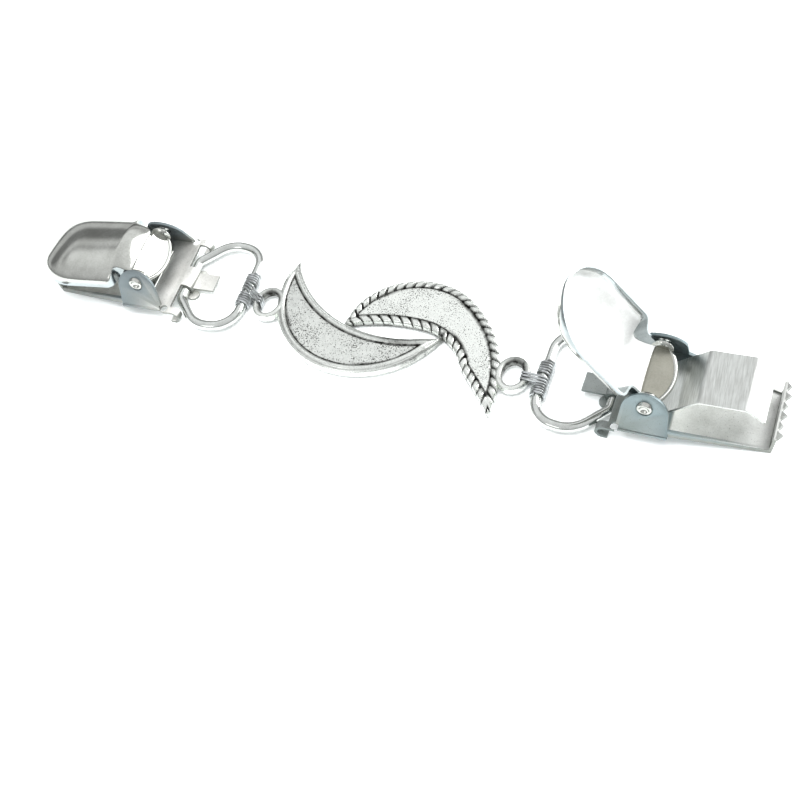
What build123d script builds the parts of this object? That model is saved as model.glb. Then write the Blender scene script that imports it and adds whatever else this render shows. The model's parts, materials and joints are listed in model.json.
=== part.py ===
from build123d import *
from math import atan2, cos, degrees, hypot, pi, radians, sin, sqrt
import os

# A cardigan clip: two sheet-steel clips, each hinged on a D-shaped wire ring,
# and between the rings a cast ornament of two crossed crescents, lashed to
# each ring with fine wire. It lies on a surface, z = 0, with the chain along X
# and the origin under the middle of the whole. The left clip is shut and the
# right one is open. Millimetres and degrees.

# Stock
SHEET = 0.5
LEAF_SHEET = 0.4
RING_WIRE = 1.9
LASH_WIRE = 0.45
RUNNING_GAP = 0.05

# Base plate of a clip: x runs from the rolled hem to the jaw, y across, and
# z = 0 is the underside of the flat plate
PLATE_WIDTH = 17.8
WING_WIDTH = 18.5
WING_LENGTH = 3.4
PLATE_LENGTH = 11.6
NOTCH_INNER = 2.3
NOTCH_OUTER = 7.8
NOTCH_REACH = 0.6
TAB_WIDTH = 3.8
TAB_LENGTH = 4.2
LOBE_RADIUS = 1.15

# Ears
PIVOT_X = 7.9
PIVOT_HEIGHT = 5.3
EAR_LEAN = 18.0
EAR_HEIGHT = 8.2
EAR_RADIUS = 3.9
EAR_REAR = 4.7
EAR_FRONT = 4.0
PIP_RADIUS = 1.3
PIP_WIDTH = 15.0
RELIEF_RADIUS = 0.75

# Tray and toothed lip
TRAY_END = 28.0
TRAY_REAR_WIDTH = 16.6
TRAY_TIP_WIDTH = 11.6
TRAY_WALL = 1.5
LIP_HEIGHT = 4.3
LIP_LEAN = 8.0
TOOTH_COUNT = 6
TOOTH_LENGTH = 1.2
TOOTH_LEAN = 50.0

# Tongue, the spring leaf between base and lever
LEAF_WIDTH = 10.6
LEAF_TRAVEL = 5.5
LEAF_ROOT = 2.1
LEAF_BEND_X = 16.0
LEAF_BEND_HEIGHT = 7.0

# Lever
LEVER_LENGTH = 24.0
LEVER_WIDTH = 16.8
LEVER_NOSE = 9.0
LEVER_NECK_WIDTH = 11.2
LEVER_CROWN = 4.3
LEVER_WALL = 2.6
LEVER_SHUT = -7.0
LEVER_OPEN = 125.0
CAM_RADIUS = 3.7
CAM_ANGLE = 215.0
CAM_SIDE = 1.6
HUB_RADIUS = 1.9
SWING_GAP = 0.4

# D-rings, measured on the wire's centre line
RING_DEPTH = 12.7
RING_BAR = 9.2
RING_SHOULDER_DEPTH = 5.2
RING_SHOULDER_WIDTH = 20.3
RING_FRONT_WIDTH = 18.3
RING_BAR_BEND = 1.7
RING_SHOULDER_BEND = 5.6
RING_FRONT_BEND = 4.6

# Ornament: each crescent has its chord's middle, its turn and its arcs' heights
PLAIN_THICKNESS = 2.7
PLAIN_SPAN = 35.2
PLAIN_BULGE = 17.8
PLAIN_HOLLOW = 7.5
PLAIN_RIM = 1.5
PLAIN_MIDDLE = (-6.35, 8.8)
PLAIN_TURN = 156.6
ROPE_THICKNESS = 2.3
ROPE_SPAN = 34.4
ROPE_BULGE = 18.2
ROPE_HOLLOW = 8.5
ROPE_RIM = 2.0
ROPE_PITCH = 2.6
ROPE_GROOVE = 0.75
ROPE_MIDDLE = (6.05, -5.85)
ROPE_TURN = -25.3
ROPE_BACK = [(-0.407, 0.764), (0.0, 0.967), (0.288, 0.67)]
ROPE_LINE = [(-0.33, 0.54), (-0.09, 0.95), (0.045, 0.93), (0.2, 0.58)]
FIELD_DEPTH = 0.5
EYE_WIDTH = 6.2
EYE_HEIGHT = 7.4
EYE_LIMB = 1.0
EYE_THICKNESS = 1.9
EYE_WELD = 1.5
PLAIN_EYE_ANGLE = 36.8
ROPE_EYE_SHARE = 0.675
ROPE_EYE_WELD = 0.8

# Lashing: plain turns each side of long turns through the ornament's eye
LASH_GAP = 0.02
LASH_PITCH = 0.5
LONG_PITCH = 0.62
LASH_STEP = 0.85
LASH_SEGMENTS = 12
LASH_SIDES = 6
LONG_TURNS = 3
UPPER_TURNS = 5
LOWER_TURNS = 5

# How the parts lie
LEFT_YAW = 178.8
RIGHT_YAW = -4.05
LEFT_SLACK = 0.8
RIGHT_SLACK = 0.8
LEFT_SHIFT = 3.1
RIGHT_SHIFT = 1.2
LEFT_LASH_SHIFT = 0.5
RIGHT_LASH_SHIFT = -1.6

WIRE_RADIUS = RING_WIRE / 2
HEM_INNER = WIRE_RADIUS + RUNNING_GAP
HEM_OUTER = HEM_INNER + SHEET
LIFT = 2 * HEM_INNER + SHEET
BAR_X = HEM_OUTER
BAR_Z = -HEM_INNER
RING_Z = LIFT + BAR_Z
LASH_RADIUS = (WIRE_RADIUS + LASH_GAP + LASH_WIRE / 2) / cos(pi / LASH_SEGMENTS)
LASH_OUTER = LASH_RADIUS + LASH_WIRE / 2
NECK_REACH = hypot(EAR_RADIUS, PIVOT_HEIGHT - EAR_HEIGHT + EAR_RADIUS) + SWING_GAP
BIG = 60.0


def block(x0, x1, y0, y1, z0, z1):
    size = (x1 - x0, y1 - y0, z1 - z0)
    middle = ((x0 + x1) / 2, (y0 + y1) / 2, (z0 + z1) / 2)
    return Pos(*middle) * Box(*size)


def across(radius, width):
    """A round bar along Y."""
    return Rot(90, 0, 0) * Cylinder(radius, width)


def both_sides(shape):
    return shape + mirror(shape, Plane.XZ)


def hem_notch():
    return block(-BIG, BAR_X + NOTCH_REACH, NOTCH_INNER, NOTCH_OUTER, -BIG, BIG)


def hem():
    """The plate's rear edge rolled down round the ring's bar, with two notches for its arms."""
    wing = WING_WIDTH / 2
    bar = Pos(BAR_X, 0, BAR_Z)
    roll = bar * (across(HEM_OUTER, WING_WIDTH) - across(HEM_INNER, WING_WIDTH + 1))
    roll &= block(-1, BAR_X, -BIG, BIG, -BIG, BIG)
    flap = block(BAR_X, BAR_X + NOTCH_REACH, -wing, wing, -LIFT, SHEET - LIFT)
    tab_z = BAR_Z - SHEET / 2
    tab = block(-TAB_LENGTH, SHEET / 2, -TAB_WIDTH / 2, TAB_WIDTH / 2, tab_z, tab_z + SHEET)
    lobe_y = RING_BAR / 2 - WIRE_RADIUS - RUNNING_GAP - LOBE_RADIUS
    lobe = Pos(LOBE_RADIUS - SHEET * 2, lobe_y, SHEET / 2 - LIFT) * Cylinder(LOBE_RADIUS, SHEET)
    return roll + flap - both_sides(hem_notch()) + tab + both_sides(lobe)


def ear():
    """One ear: a round-topped plate that leans in from the plate's edge, with the pip's hole."""
    edge = PLATE_WIDTH / 2
    top = (EAR_HEIGHT - EAR_RADIUS) / cos(radians(EAR_LEAN))
    root = Line((PIVOT_X - EAR_REAR, 0), (PIVOT_X + EAR_FRONT, 0))
    head = Pos(PIVOT_X, top) * CenterArc((0, 0), EAR_RADIUS, 0, 360)
    outline = make_hull([root, *head.edges()])
    plate = extrude(Plane.XZ * outline, SHEET)
    leaned = Pos(0, edge, 0) * Rot(EAR_LEAN, 0, 0) * plate
    above = leaned & block(-BIG, BIG, -BIG, BIG, 0, BIG)
    return above - Pos(PIVOT_X, edge, PIVOT_HEIGHT) * across(PIP_RADIUS + RUNNING_GAP, edge)


def tray():
    """The jaw's lower half: a tapered channel that slopes to the surface, with a toothed lip."""
    run = TRAY_END - PLATE_LENGTH
    rear = TRAY_REAR_WIDTH / 2
    tip = TRAY_TIP_WIDTH / 2
    pitch = degrees(atan2(LIFT, run))
    length = hypot(run, LIFT)
    plan = [(0, -rear), (length, -tip), (length, tip), (0, rear)]
    inside = [(-1, SHEET - rear), (length + 1, SHEET - tip), (length + 1, tip - SHEET), (-1, rear - SHEET)]
    channel = extrude(make_face(Polyline(plan, close=True)), TRAY_WALL)
    channel -= Pos(0, 0, SHEET) * extrude(make_face(Polyline(inside, close=True)), BIG)
    slope = [(0, -1), (length + 1, -1), (length + 1, SHEET + TRAY_WALL / 4), (0, TRAY_WALL)]
    channel &= extrude(Plane.XZ * make_face(Polyline(slope, close=True)), BIG, both=True)
    channel = Pos(PLATE_LENGTH, 0, 0) * Rot(0, pitch, 0) * channel
    lip = block(0, SHEET, -tip, tip, 0, LIP_HEIGHT)
    gap = TRAY_TIP_WIDTH / TOOTH_COUNT
    saw = [(0, -tip)]
    for number in range(TOOTH_COUNT):
        start = -tip + number * gap
        saw.append((TOOTH_LENGTH * (1 - 0.25 * (number % 2)), start + gap * 0.45))
        saw.append((0, start + gap))
    saw.append((-SHEET, tip))
    saw.append((-SHEET, -tip))
    teeth = extrude(make_face(Polyline(saw, close=True)), SHEET)
    teeth = Pos(SHEET, 0, LIP_HEIGHT - SHEET) * Rot(0, TOOTH_LEAN - 90, 0) * teeth
    jaw = Pos(TRAY_END - SHEET, 0, -LIFT) * Rot(0, LIP_LEAN, 0) * (lip + teeth)
    return channel + (jaw & block(-BIG, BIG, -BIG, BIG, -LIFT, BIG))


def base():
    half = PLATE_WIDTH / 2
    wing = WING_WIDTH / 2
    flat = block(BAR_X, PLATE_LENGTH + SHEET, -TRAY_REAR_WIDTH / 2, TRAY_REAR_WIDTH / 2, 0, SHEET)
    flat += block(BAR_X, PIVOT_X + EAR_FRONT, -half, half, 0, SHEET)
    flat += block(BAR_X, WING_LENGTH, -wing, wing, 0, SHEET)
    relief = Pos(PIVOT_X - EAR_REAR, half - SHEET, 0) * Cylinder(RELIEF_RADIUS, LIFT)
    plate = flat - both_sides(hem_notch())
    return plate + hem() + both_sides(ear()) + tray() - both_sides(relief)


def tongue():
    """The spring leaf, raised as it stands in an open clip: flat at its root, up round the cam,
    then level and curled down at its end."""
    root_x = PIVOT_X - LEAF_ROOT
    root_z = SHEET + RUNNING_GAP + LEAF_SHEET / 2
    clear = CAM_RADIUS + SWING_GAP / 2 + LEAF_SHEET / 2
    reach = hypot(LEAF_BEND_X - PIVOT_X, LEAF_BEND_HEIGHT - PIVOT_HEIGHT)
    view = atan2(LEAF_BEND_HEIGHT - PIVOT_HEIGHT, LEAF_BEND_X - PIVOT_X)
    ramp = view + atan2(clear, sqrt(reach * reach - clear * clear))
    rise = sin(radians(LEAF_TRAVEL + 0.5)) / cos(radians(LEAF_TRAVEL + 0.5))
    steep = sin(ramp) / cos(ramp)
    foot_x = (LEAF_BEND_HEIGHT - root_z + rise * root_x - steep * LEAF_BEND_X) / (rise - steep)
    foot_z = root_z + rise * (foot_x - root_x)
    level = LEVER_LENGTH * 0.32
    points = [
        (root_x, root_z), (foot_x, foot_z), (LEAF_BEND_X, LEAF_BEND_HEIGHT),
        (LEAF_BEND_X + level, LEAF_BEND_HEIGHT + SHEET * 0.6),
        (LEAF_BEND_X + level + LEVER_LENGTH * 0.11, LEAF_BEND_HEIGHT - LEVER_CROWN * 0.45),
    ]
    bends = [LEAF_SHEET * 2.5, LEAF_SHEET * 3, LEAF_SHEET * 4]
    line = FilletPolyline(*points, radius=bends)
    thick = trace(line, LEAF_SHEET)
    return Pos(0, LEAF_WIDTH / 2, 0) * extrude(Plane.XZ * thick, LEAF_WIDTH)


def lever_form(inset):
    """The lever's closed form above its rim, set in all round by a wall's thickness."""
    half = LEVER_WIDTH / 2 - inset
    neck = LEVER_NECK_WIDTH / 2 - inset
    reach = LEVER_LENGTH - inset
    nose = LEVER_NOSE - inset
    step = NECK_REACH + inset
    sides = Polyline((reach - nose, half), (step, half), (step, neck), (0, neck), (0, -neck),
                     (step, -neck), (step, -half), (reach - nose, -half), close=True)
    outline = make_face(sides) + Pos(reach - nose, 0) * Ellipse(nose, half)
    plan = extrude(outline, BIG)
    crown = LEVER_CROWN - inset
    wall = LEVER_WALL - inset
    arch_line = Polyline((-half, wall), (-half, -1), (half, -1), (half, wall))
    arch_top = ThreePointArc((half, wall), (0, crown), (-half, wall))
    arch = extrude(Plane.YZ * make_face(arch_line.edges() + arch_top.edges()), BIG)
    fall = CAM_SIDE / 2 - inset
    tip = LEVER_CROWN * 0.3 - inset * 0.6
    roof = Spline((0, fall), (LEVER_LENGTH * 0.2, crown * 0.85), (LEVER_LENGTH * 0.45, crown),
                  (LEVER_LENGTH * 0.8, crown * 0.8), (LEVER_LENGTH, tip))
    side_line = Polyline((LEVER_LENGTH, tip), (LEVER_LENGTH, -1), (0, -1), (0, fall))
    side = extrude(Plane.XZ * make_face(roof.edges() + side_line.edges()), BIG / 2, both=True)
    return plan & arch & side


def cam():
    """The lever's tail: a lens-shaped plate from the crease near the pivot to an arched edge."""
    half = LEVER_NECK_WIDTH / 2
    edge = ThreePointArc((-CAM_SIDE, half), (-CAM_RADIUS, 0), (-CAM_SIDE, -half))
    root = Polyline((-CAM_SIDE, -half), (2 * SHEET, -half), (2 * SHEET, half), (-CAM_SIDE, half))
    plate = Pos(0, 0, -SHEET / 2) * extrude(make_face(edge.edges() + root.edges()), SHEET)
    return Rot(0, 180 - CAM_ANGLE + LEVER_SHUT, 0) * plate


def lever():
    """The lever in its own frame: pivot along Y at the origin, rim on z = 0, nose towards +X."""
    shell = lever_form(0) - lever_form(SHEET)
    shell &= block(-BIG, BIG, -BIG, BIG, 0, BIG)
    neck = LEVER_NECK_WIDTH / 2
    hub = Pos(0, neck - SHEET / 2, 0) * across(HUB_RADIUS, SHEET)
    web = block(0, NECK_REACH + SHEET, neck - SHEET, neck, 0, CAM_SIDE)
    pip_length = PIP_WIDTH / 2 - neck + SHEET
    pip = Pos(0, PIP_WIDTH / 2 - pip_length / 2, 0) * across(PIP_RADIUS, pip_length)
    dish = Pos(0, PIP_WIDTH / 2 + PIP_RADIUS * 0.3, 0) * Sphere(PIP_RADIUS * 0.75)
    return shell + both_sides(hub + web + pip - dish) + cam()


def ring():
    """The D-ring in its own frame: its bar along Y at the origin, its front towards -X."""
    points = [
        (0, 0), (0, RING_BAR / 2), (-RING_SHOULDER_DEPTH, RING_SHOULDER_WIDTH / 2),
        (-RING_DEPTH, RING_FRONT_WIDTH / 2), (-RING_DEPTH, 0),
    ]
    bends = [RING_BAR_BEND, RING_SHOULDER_BEND, RING_FRONT_BEND]
    line = FilletPolyline(*points, radius=bends)
    start = Plane(origin=line @ 0, z_dir=line % 0)
    return both_sides(sweep(start * Circle(WIRE_RADIUS), path=line))


def arc_radius(span, height):
    return (span * span / 4 + height * height) / (2 * height)


def flat_crescent(span, bulge, hollow, rim):
    """The plain crescent's outline, set in all round by the rim: horns down, back up."""
    outer = arc_radius(span, bulge)
    inner = arc_radius(span, hollow)
    disc = Pos(0, bulge - outer) * Circle(outer - rim)
    return disc - Pos(0, hollow - inner) * Circle(inner + rim)


def rope_edges():
    """The second crescent's back and its hollow edge, each from the left horn to the right one."""
    half = ROPE_SPAN / 2
    back = [(share * ROPE_SPAN, up * ROPE_BULGE) for share, up in ROPE_BACK]
    points = [(share * ROPE_SPAN, up * ROPE_HOLLOW) for share, up in ROPE_LINE]
    outer_left = ThreePointArc((-half, 0), back[0], back[1])
    outer_right = ThreePointArc(back[1], back[2], (half, 0))
    left = ThreePointArc((-half, 0), points[0], points[1])
    middle = ThreePointArc(points[1], points[2], points[3])
    right = Line(points[3], (half, 0))
    return [outer_left.edge(), outer_right.edge()], [left.edge(), middle.edge(), right.edge()]


def plain_crescent():
    body = extrude(flat_crescent(PLAIN_SPAN, PLAIN_BULGE, PLAIN_HOLLOW, 0), PLAIN_THICKNESS)
    field = flat_crescent(PLAIN_SPAN, PLAIN_BULGE, PLAIN_HOLLOW, PLAIN_RIM)
    return body - Pos(0, 0, PLAIN_THICKNESS - FIELD_DEPTH) * extrude(field, BIG)


def rope_cuts(edge, inward):
    """Slanting grooves along a rope-like rim; the body lies to the inward side of the edge."""
    groove = Rot(45, 0, 0) * Box(ROPE_RIM * 1.9, ROPE_GROOVE, ROPE_GROOVE)
    cuts = []
    count = int(edge.length * 0.8 / ROPE_PITCH)
    for number in range(count):
        share = 0.1 + 0.8 * (number + 0.5) / count
        spot = edge @ share
        along = edge % share
        angle = degrees(atan2(along.Y, along.X)) + inward
        place = Pos(spot.X, spot.Y) * Rot(0, 0, angle) * Pos(ROPE_RIM / 2, 0)
        cuts.append(place * Rot(0, 0, 40) * groove)
    return cuts


def rope_crescent():
    """The second crescent: its rim is cut with slanting grooves, like a rope."""
    outer_edges, inner_edges = rope_edges()
    outer = Wire(outer_edges)
    inner = Wire(inner_edges)
    outline = make_face(outer_edges + inner_edges)
    body = extrude(outline, ROPE_THICKNESS)
    within = outline - trace(outer, 2 * ROPE_RIM) - trace(inner, 2 * ROPE_RIM)
    field = within.faces().sort_by(SortBy.AREA)[-1]
    body -= Pos(0, 0, ROPE_THICKNESS - FIELD_DEPTH) * extrude(field, BIG)
    cuts = rope_cuts(outer, -90) + rope_cuts(inner, 90)
    return body - [Pos(0, 0, ROPE_THICKNESS) * cut for cut in cuts]


def plain_eye_spot():
    """The centre of the eye on the plain crescent's back, in the ornament's frame."""
    radius = arc_radius(PLAIN_SPAN, PLAIN_BULGE)
    away = radius + EYE_WIDTH / 2 - EYE_WELD
    angle = radians(PLAIN_EYE_ANGLE)
    spot = Pos(away * cos(angle), PLAIN_BULGE - radius + away * sin(angle))
    return (PLAIN_PLACE * spot).position


def rope_eye_spot():
    """The centre of the eye on the other crescent's back."""
    edge = rope_edges()[0][1]
    spot = edge @ ROPE_EYE_SHARE
    along = edge % ROPE_EYE_SHARE
    away = EYE_WIDTH / 2 - ROPE_EYE_WELD
    return (ROPE_PLACE * Pos(spot.X - along.Y * away, spot.Y + along.X * away)).position


PLAIN_PLACE = Pos(*PLAIN_MIDDLE) * Rot(0, 0, PLAIN_TURN)
ROPE_PLACE = Pos(*ROPE_MIDDLE) * Rot(0, 0, ROPE_TURN)
LEFT_EYE = plain_eye_spot()
RIGHT_EYE = rope_eye_spot()


def eye(spot):
    disc = extrude(Ellipse(EYE_WIDTH / 2, EYE_HEIGHT / 2), EYE_THICKNESS / 2, both=True)
    return Pos(spot.X, spot.Y, RING_Z) * disc


def eye_hole(spot):
    hole = extrude(Ellipse(EYE_WIDTH / 2 - EYE_LIMB, EYE_HEIGHT / 2 - EYE_LIMB), BIG, both=True)
    return Pos(spot.X, spot.Y, 0) * hole


def ornament():
    """One casting: the plain crescent lies over the rope-edged one; an eye at each end."""
    cover = extrude(flat_crescent(PLAIN_SPAN, PLAIN_BULGE, PLAIN_HOLLOW, 0), BIG)
    lower = ROPE_PLACE * rope_crescent() - PLAIN_PLACE * cover
    joined = lower + PLAIN_PLACE * plain_crescent() + eye(LEFT_EYE) + eye(RIGHT_EYE)
    return joined - eye_hole(LEFT_EYE) - eye_hole(RIGHT_EYE)


def wire_body(points, radius, sides):
    """A thin wire along straight steps, with a mitred joint at each point."""
    path = [Vector(*point) for point in points]
    start = Plane(origin=path[0], z_dir=path[1] - path[0])
    corners = [2 * pi * number / sides for number in range(sides)]
    loop = [start.from_local_coords(Vector(radius * cos(turn), radius * sin(turn), 0)) for turn in corners]
    faces = [Face(Wire.make_polygon(loop))]
    for index in range(1, len(path)):
        along = (path[index] - path[index - 1]).normalized()
        mitre = along
        if index < len(path) - 1:
            mitre = along + (path[index + 1] - path[index]).normalized()
        moved = [spot + along * ((path[index] - spot).dot(mitre) / along.dot(mitre)) for spot in loop]
        for side in range(sides):
            other = (side + 1) % sides
            faces.append(Face(Wire.make_polygon([loop[side], loop[other], moved[other], moved[side]])))
        loop = moved
    faces.append(Face(Wire.make_polygon(loop)))
    return Solid(Shell(faces))


def lashing(eye_x, eye_y, shift):
    """The thin wire in the ring's frame: turns down the ring's front, of which some reach
    through the eye at eye_x and eye_y. A turn starts on top and passes the ring's inside first."""
    coil = (UPPER_TURNS + LOWER_TURNS) * LASH_PITCH + LASH_STEP + LONG_TURNS * LONG_PITCH
    aside = LONG_TURNS * LONG_PITCH / (EYE_HEIGHT - 2 * EYE_LIMB)
    far = eye_x + (EYE_WIDTH / 2 - EYE_LIMB) * sqrt(1 - aside * aside) - RUNNING_GAP * 2 - LASH_WIRE / 2
    corner = LASH_WIRE * 0.6
    quarter = LASH_SEGMENTS // 2
    points = []

    def arc(y, step, first, last):
        for number in range(first, last):
            turn = pi / 2 - 2 * pi * number / LASH_SEGMENTS
            down = y - step * (number - first) / (last - first)
            points.append((LASH_RADIUS * cos(turn) - RING_DEPTH, down, LASH_RADIUS * sin(turn)))

    y = shift + coil / 2
    for _ in range(UPPER_TURNS):
        arc(y, LASH_PITCH, 0, LASH_SEGMENTS)
        y -= LASH_PITCH
    drop = LASH_STEP
    for number in range(LONG_TURNS):
        arc(y, drop, 0, quarter)
        y -= drop
        points.append((-RING_DEPTH, y, -LASH_RADIUS))
        hole_y = eye_y + ((LONG_TURNS - 1) / 2 - number) * LONG_PITCH
        points.append((far + corner, hole_y, -LASH_RADIUS))
        points.append((far, hole_y, corner - LASH_RADIUS))
        points.append((far, hole_y - LONG_PITCH / 3, LASH_RADIUS - corner))
        points.append((far + corner, hole_y - LONG_PITCH / 2, LASH_RADIUS))
        drop = LONG_PITCH / 2
        y -= drop
    for _ in range(LOWER_TURNS):
        arc(y, LASH_PITCH, 0, LASH_SEGMENTS)
        y -= LASH_PITCH
    return wire_body(points, LASH_WIRE / 2, LASH_SIDES)


def place_ring(eye_at, gap, shift, yaw):
    """Where the ring lies: its front's middle stands off from the eye."""
    front = Pos(eye_at.X + gap, eye_at.Y + shift, RING_Z)
    return front * Rot(0, 0, yaw) * Pos(RING_DEPTH, 0, 0)


def in_ring(place, spot):
    """A point of the ornament in the ring's own frame."""
    return (place.inverse() * Pos(spot.X, spot.Y, RING_Z)).position


STAND_OFF = EYE_WIDTH / 2 + LASH_OUTER
LEFT_RING = place_ring(LEFT_EYE, -STAND_OFF - LEFT_SLACK, LEFT_SHIFT, LEFT_YAW)
RIGHT_RING = place_ring(RIGHT_EYE, STAND_OFF + RIGHT_SLACK, RIGHT_SHIFT, RIGHT_YAW)
TO_BASE = Pos(-BAR_X, 0, -BAR_Z)
TO_PIVOT = Pos(PIVOT_X, 0, PIVOT_HEIGHT)
LEAF_HINGE = Pos(PIVOT_X - LEAF_ROOT, 0, SHEET + RUNNING_GAP + LEAF_SHEET / 2)

base_form = base()
lever_shape = lever()
tongue_form = tongue()
ring_form = ring()
lowered_tongue = LEAF_HINGE * Rot(0, LEAF_TRAVEL, 0) * LEAF_HINGE.inverse() * tongue_form

parts = {"crescent_ornament": ornament()}
for side, place, opened, leaf, spot, lash_shift in (
    ("left", LEFT_RING, LEVER_SHUT, lowered_tongue, LEFT_EYE, LEFT_LASH_SHIFT),
    ("right", RIGHT_RING, LEVER_OPEN, tongue_form, RIGHT_EYE, RIGHT_LASH_SHIFT),
):
    eye_in_ring = in_ring(place, spot)
    clip = place * TO_BASE
    parts[side + "_d_ring"] = place * ring_form
    parts[side + "_wire_wrap"] = place * lashing(eye_in_ring.X, eye_in_ring.Y, lash_shift)
    parts[side + "_base"] = clip * base_form
    parts[side + "_tongue"] = clip * leaf
    parts[side + "_lever"] = clip * TO_PIVOT * Rot(0, -opened, 0) * lever_shape

extent = Compound(children=[Compound(list(shape.solids())) for shape in parts.values()]).bounding_box()
CENTRE = Pos(-(extent.min.X + extent.max.X) / 2, -(extent.min.Y + extent.max.Y) / 2, 0)

os.makedirs("parts", exist_ok=True)
for name, shape in parts.items():
    export_step(CENTRE * shape.solid(), "parts/" + name + ".step")
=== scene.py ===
# %% [markdown]
# # A cardigan clip
# Two sheet-steel clips hang on D-shaped rings, and a cast ornament of two crossed
# crescents joins the rings. Thin wire lashes each ring to the ornament's eye.
# The packed model sets the sizes and places. This script gives its parts the rounded edges, the rope, the
# wire and the worn nickel of the real thing. It starts by loading that model.

import json
import math

import bmesh
import bpy
import numpy as np
from mathutils import Matrix, Vector


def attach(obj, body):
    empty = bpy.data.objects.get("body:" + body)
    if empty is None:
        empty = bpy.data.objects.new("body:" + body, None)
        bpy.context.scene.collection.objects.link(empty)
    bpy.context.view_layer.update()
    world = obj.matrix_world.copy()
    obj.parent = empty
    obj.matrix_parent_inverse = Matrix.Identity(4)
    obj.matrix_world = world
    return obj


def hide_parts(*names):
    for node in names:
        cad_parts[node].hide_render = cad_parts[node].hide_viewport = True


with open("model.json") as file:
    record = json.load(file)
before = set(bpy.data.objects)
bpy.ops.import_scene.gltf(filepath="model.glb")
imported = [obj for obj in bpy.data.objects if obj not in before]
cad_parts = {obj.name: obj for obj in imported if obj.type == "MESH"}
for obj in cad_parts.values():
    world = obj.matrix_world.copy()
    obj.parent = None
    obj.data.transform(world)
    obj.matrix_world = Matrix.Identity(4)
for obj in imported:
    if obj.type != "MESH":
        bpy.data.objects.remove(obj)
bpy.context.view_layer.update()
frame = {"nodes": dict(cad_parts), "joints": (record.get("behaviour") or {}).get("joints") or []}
MM = 0.001
print("nodes:", sorted(frame["nodes"]))

# %% [markdown]
# A material is a tree of nodes, and every sum in it is a Math node. The tree could be
# joined up node by node, but then its maths can't be read. Here a small class wraps
# a socket, and + - and * on it make the Math nodes, so that a finish reads as a few
# lines of arithmetic. The reflected forms let a number stand first, as in 1 - mask.


# %% The shader's arithmetic
class Sum:
    """A node's output that can be added, taken away and multiplied."""

    def __init__(self, nodes, socket):
        self.nodes = nodes
        self.socket = socket

    def combine(self, operation, first, second):
        return self.nodes.node("ShaderNodeMath", {"operation": operation}, {0: first, 1: second})

    def __add__(self, other):
        return self.combine("ADD", self, other)

    def __radd__(self, other):
        return self.combine("ADD", other, self)

    def __sub__(self, other):
        return self.combine("SUBTRACT", self, other)

    def __rsub__(self, other):
        return self.combine("SUBTRACT", other, self)

    def __mul__(self, other):
        return self.combine("MULTIPLY", self, other)

    def __rmul__(self, other):
        return self.combine("MULTIPLY", other, self)


print("operators ready:", [name for name in vars(Sum) if name.endswith(("add__", "sub__", "mul__"))])

# %% [markdown]
# Every other node comes from one method. It takes the node's type, then the settings
# that have to be made first, such as the stops of a colour ramp, and last the values
# or links of the sockets. A call for each kind of node would be more code for the
# same thing. Colours are mixed by a Mix node, because a Math node turns them grey.


# %% One way to make a node
class Nodes:
    """A tree of nodes that ends in one shader."""

    def __init__(self, tree, end):
        self.tree = tree
        self.end = tree.nodes[end]

    def node(self, kind, settings=None, values=None, output=0):
        made = self.tree.nodes.new(kind)
        for key, value in (settings or {}).items():
            if key == "stops":
                self.set_stops(made.color_ramp.elements, value)
            else:
                setattr(made, key, value)
        for key, value in (values or {}).items():
            if isinstance(value, Sum):
                self.tree.links.new(value.socket, made.inputs[key])
            else:
                made.inputs[key].default_value = value
        return Sum(self, made.outputs[output])

    def set_stops(self, elements, stops):
        while len(elements) < len(stops):
            elements.new(1.0)
        for element, (spot, color) in zip(elements, stops):
            element.position = spot
            element.color = (*color, 1)

    def mix(self, share, first, second):
        values = {0: share, 6: first, 7: second}
        return self.node("ShaderNodeMix", {"data_type": "RGBA"}, values, output=2)

    def feed(self, socket, value):
        self.tree.links.new(value.socket, self.end.inputs[socket])


print("a tree can:", [name for name in vars(Nodes) if not name.startswith("_")])

# %% [markdown]
# A finish is one material. What is the same all over is set on the shader's own sockets, and what changes is
# fed into them. Its patterns use the piece's own space, so they stay on the metal when a clip swings. A mark
# is a number that the mesh stores at its corners, such as how much patina and painted shade darken a point
# of the casting.


# %% Finishes
class Finish(Nodes):
    """One material, with its Principled shader and the patterns that feed it."""

    def __init__(self, name, color, metallic, roughness):
        self.material = bpy.data.materials.new(name)
        self.material.use_nodes = True
        super().__init__(self.material.node_tree, "Principled BSDF")
        self.fix("Base Color", (*color, 1))
        self.fix("Metallic", metallic)
        self.fix("Roughness", roughness)

    def fix(self, socket, value):
        self.end.inputs[socket].default_value = value

    def place(self):
        return self.node("ShaderNodeTexCoord", output="Object")

    def noise(self, scale, detail=4, roughness=0.55, place=None):
        values = {"Vector": place or self.place(), "Scale": scale, "Detail": detail, "Roughness": roughness}
        return self.node("ShaderNodeTexNoise", {}, values)

    def step(self, value, low, high):
        values = {0: value, 1: low, 2: high, 3: 0.0, 4: 1.0}
        return self.node("ShaderNodeMapRange", {"interpolation_type": "SMOOTHSTEP"}, values)

    def mark(self, name):
        return self.node("ShaderNodeAttribute", {"attribute_name": name}, {}, output="Fac")

    def upright(self):
        """0 on a level face and 1 on a wall, in the piece's own space."""
        facing = self.node("ShaderNodeTexCoord", output="Normal")
        level = self.node("ShaderNodeSeparateXYZ", {}, {"Vector": facing}, output="Z")
        return 1 - self.step(self.node("ShaderNodeMath", {"operation": "ABSOLUTE"}, {0: level}), 0.3, 0.6)

    def bump(self, height, strength, distance):
        values = {"Height": height, "Strength": strength, "Distance": distance}
        self.feed("Normal", self.node("ShaderNodeBump", {}, values))

    def paint(self, piece):
        piece.data.materials.clear()
        piece.data.materials.append(self.material)
        return piece


print("a finish can:", [name for name in vars(Finish) if not name.startswith("_")])
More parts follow.
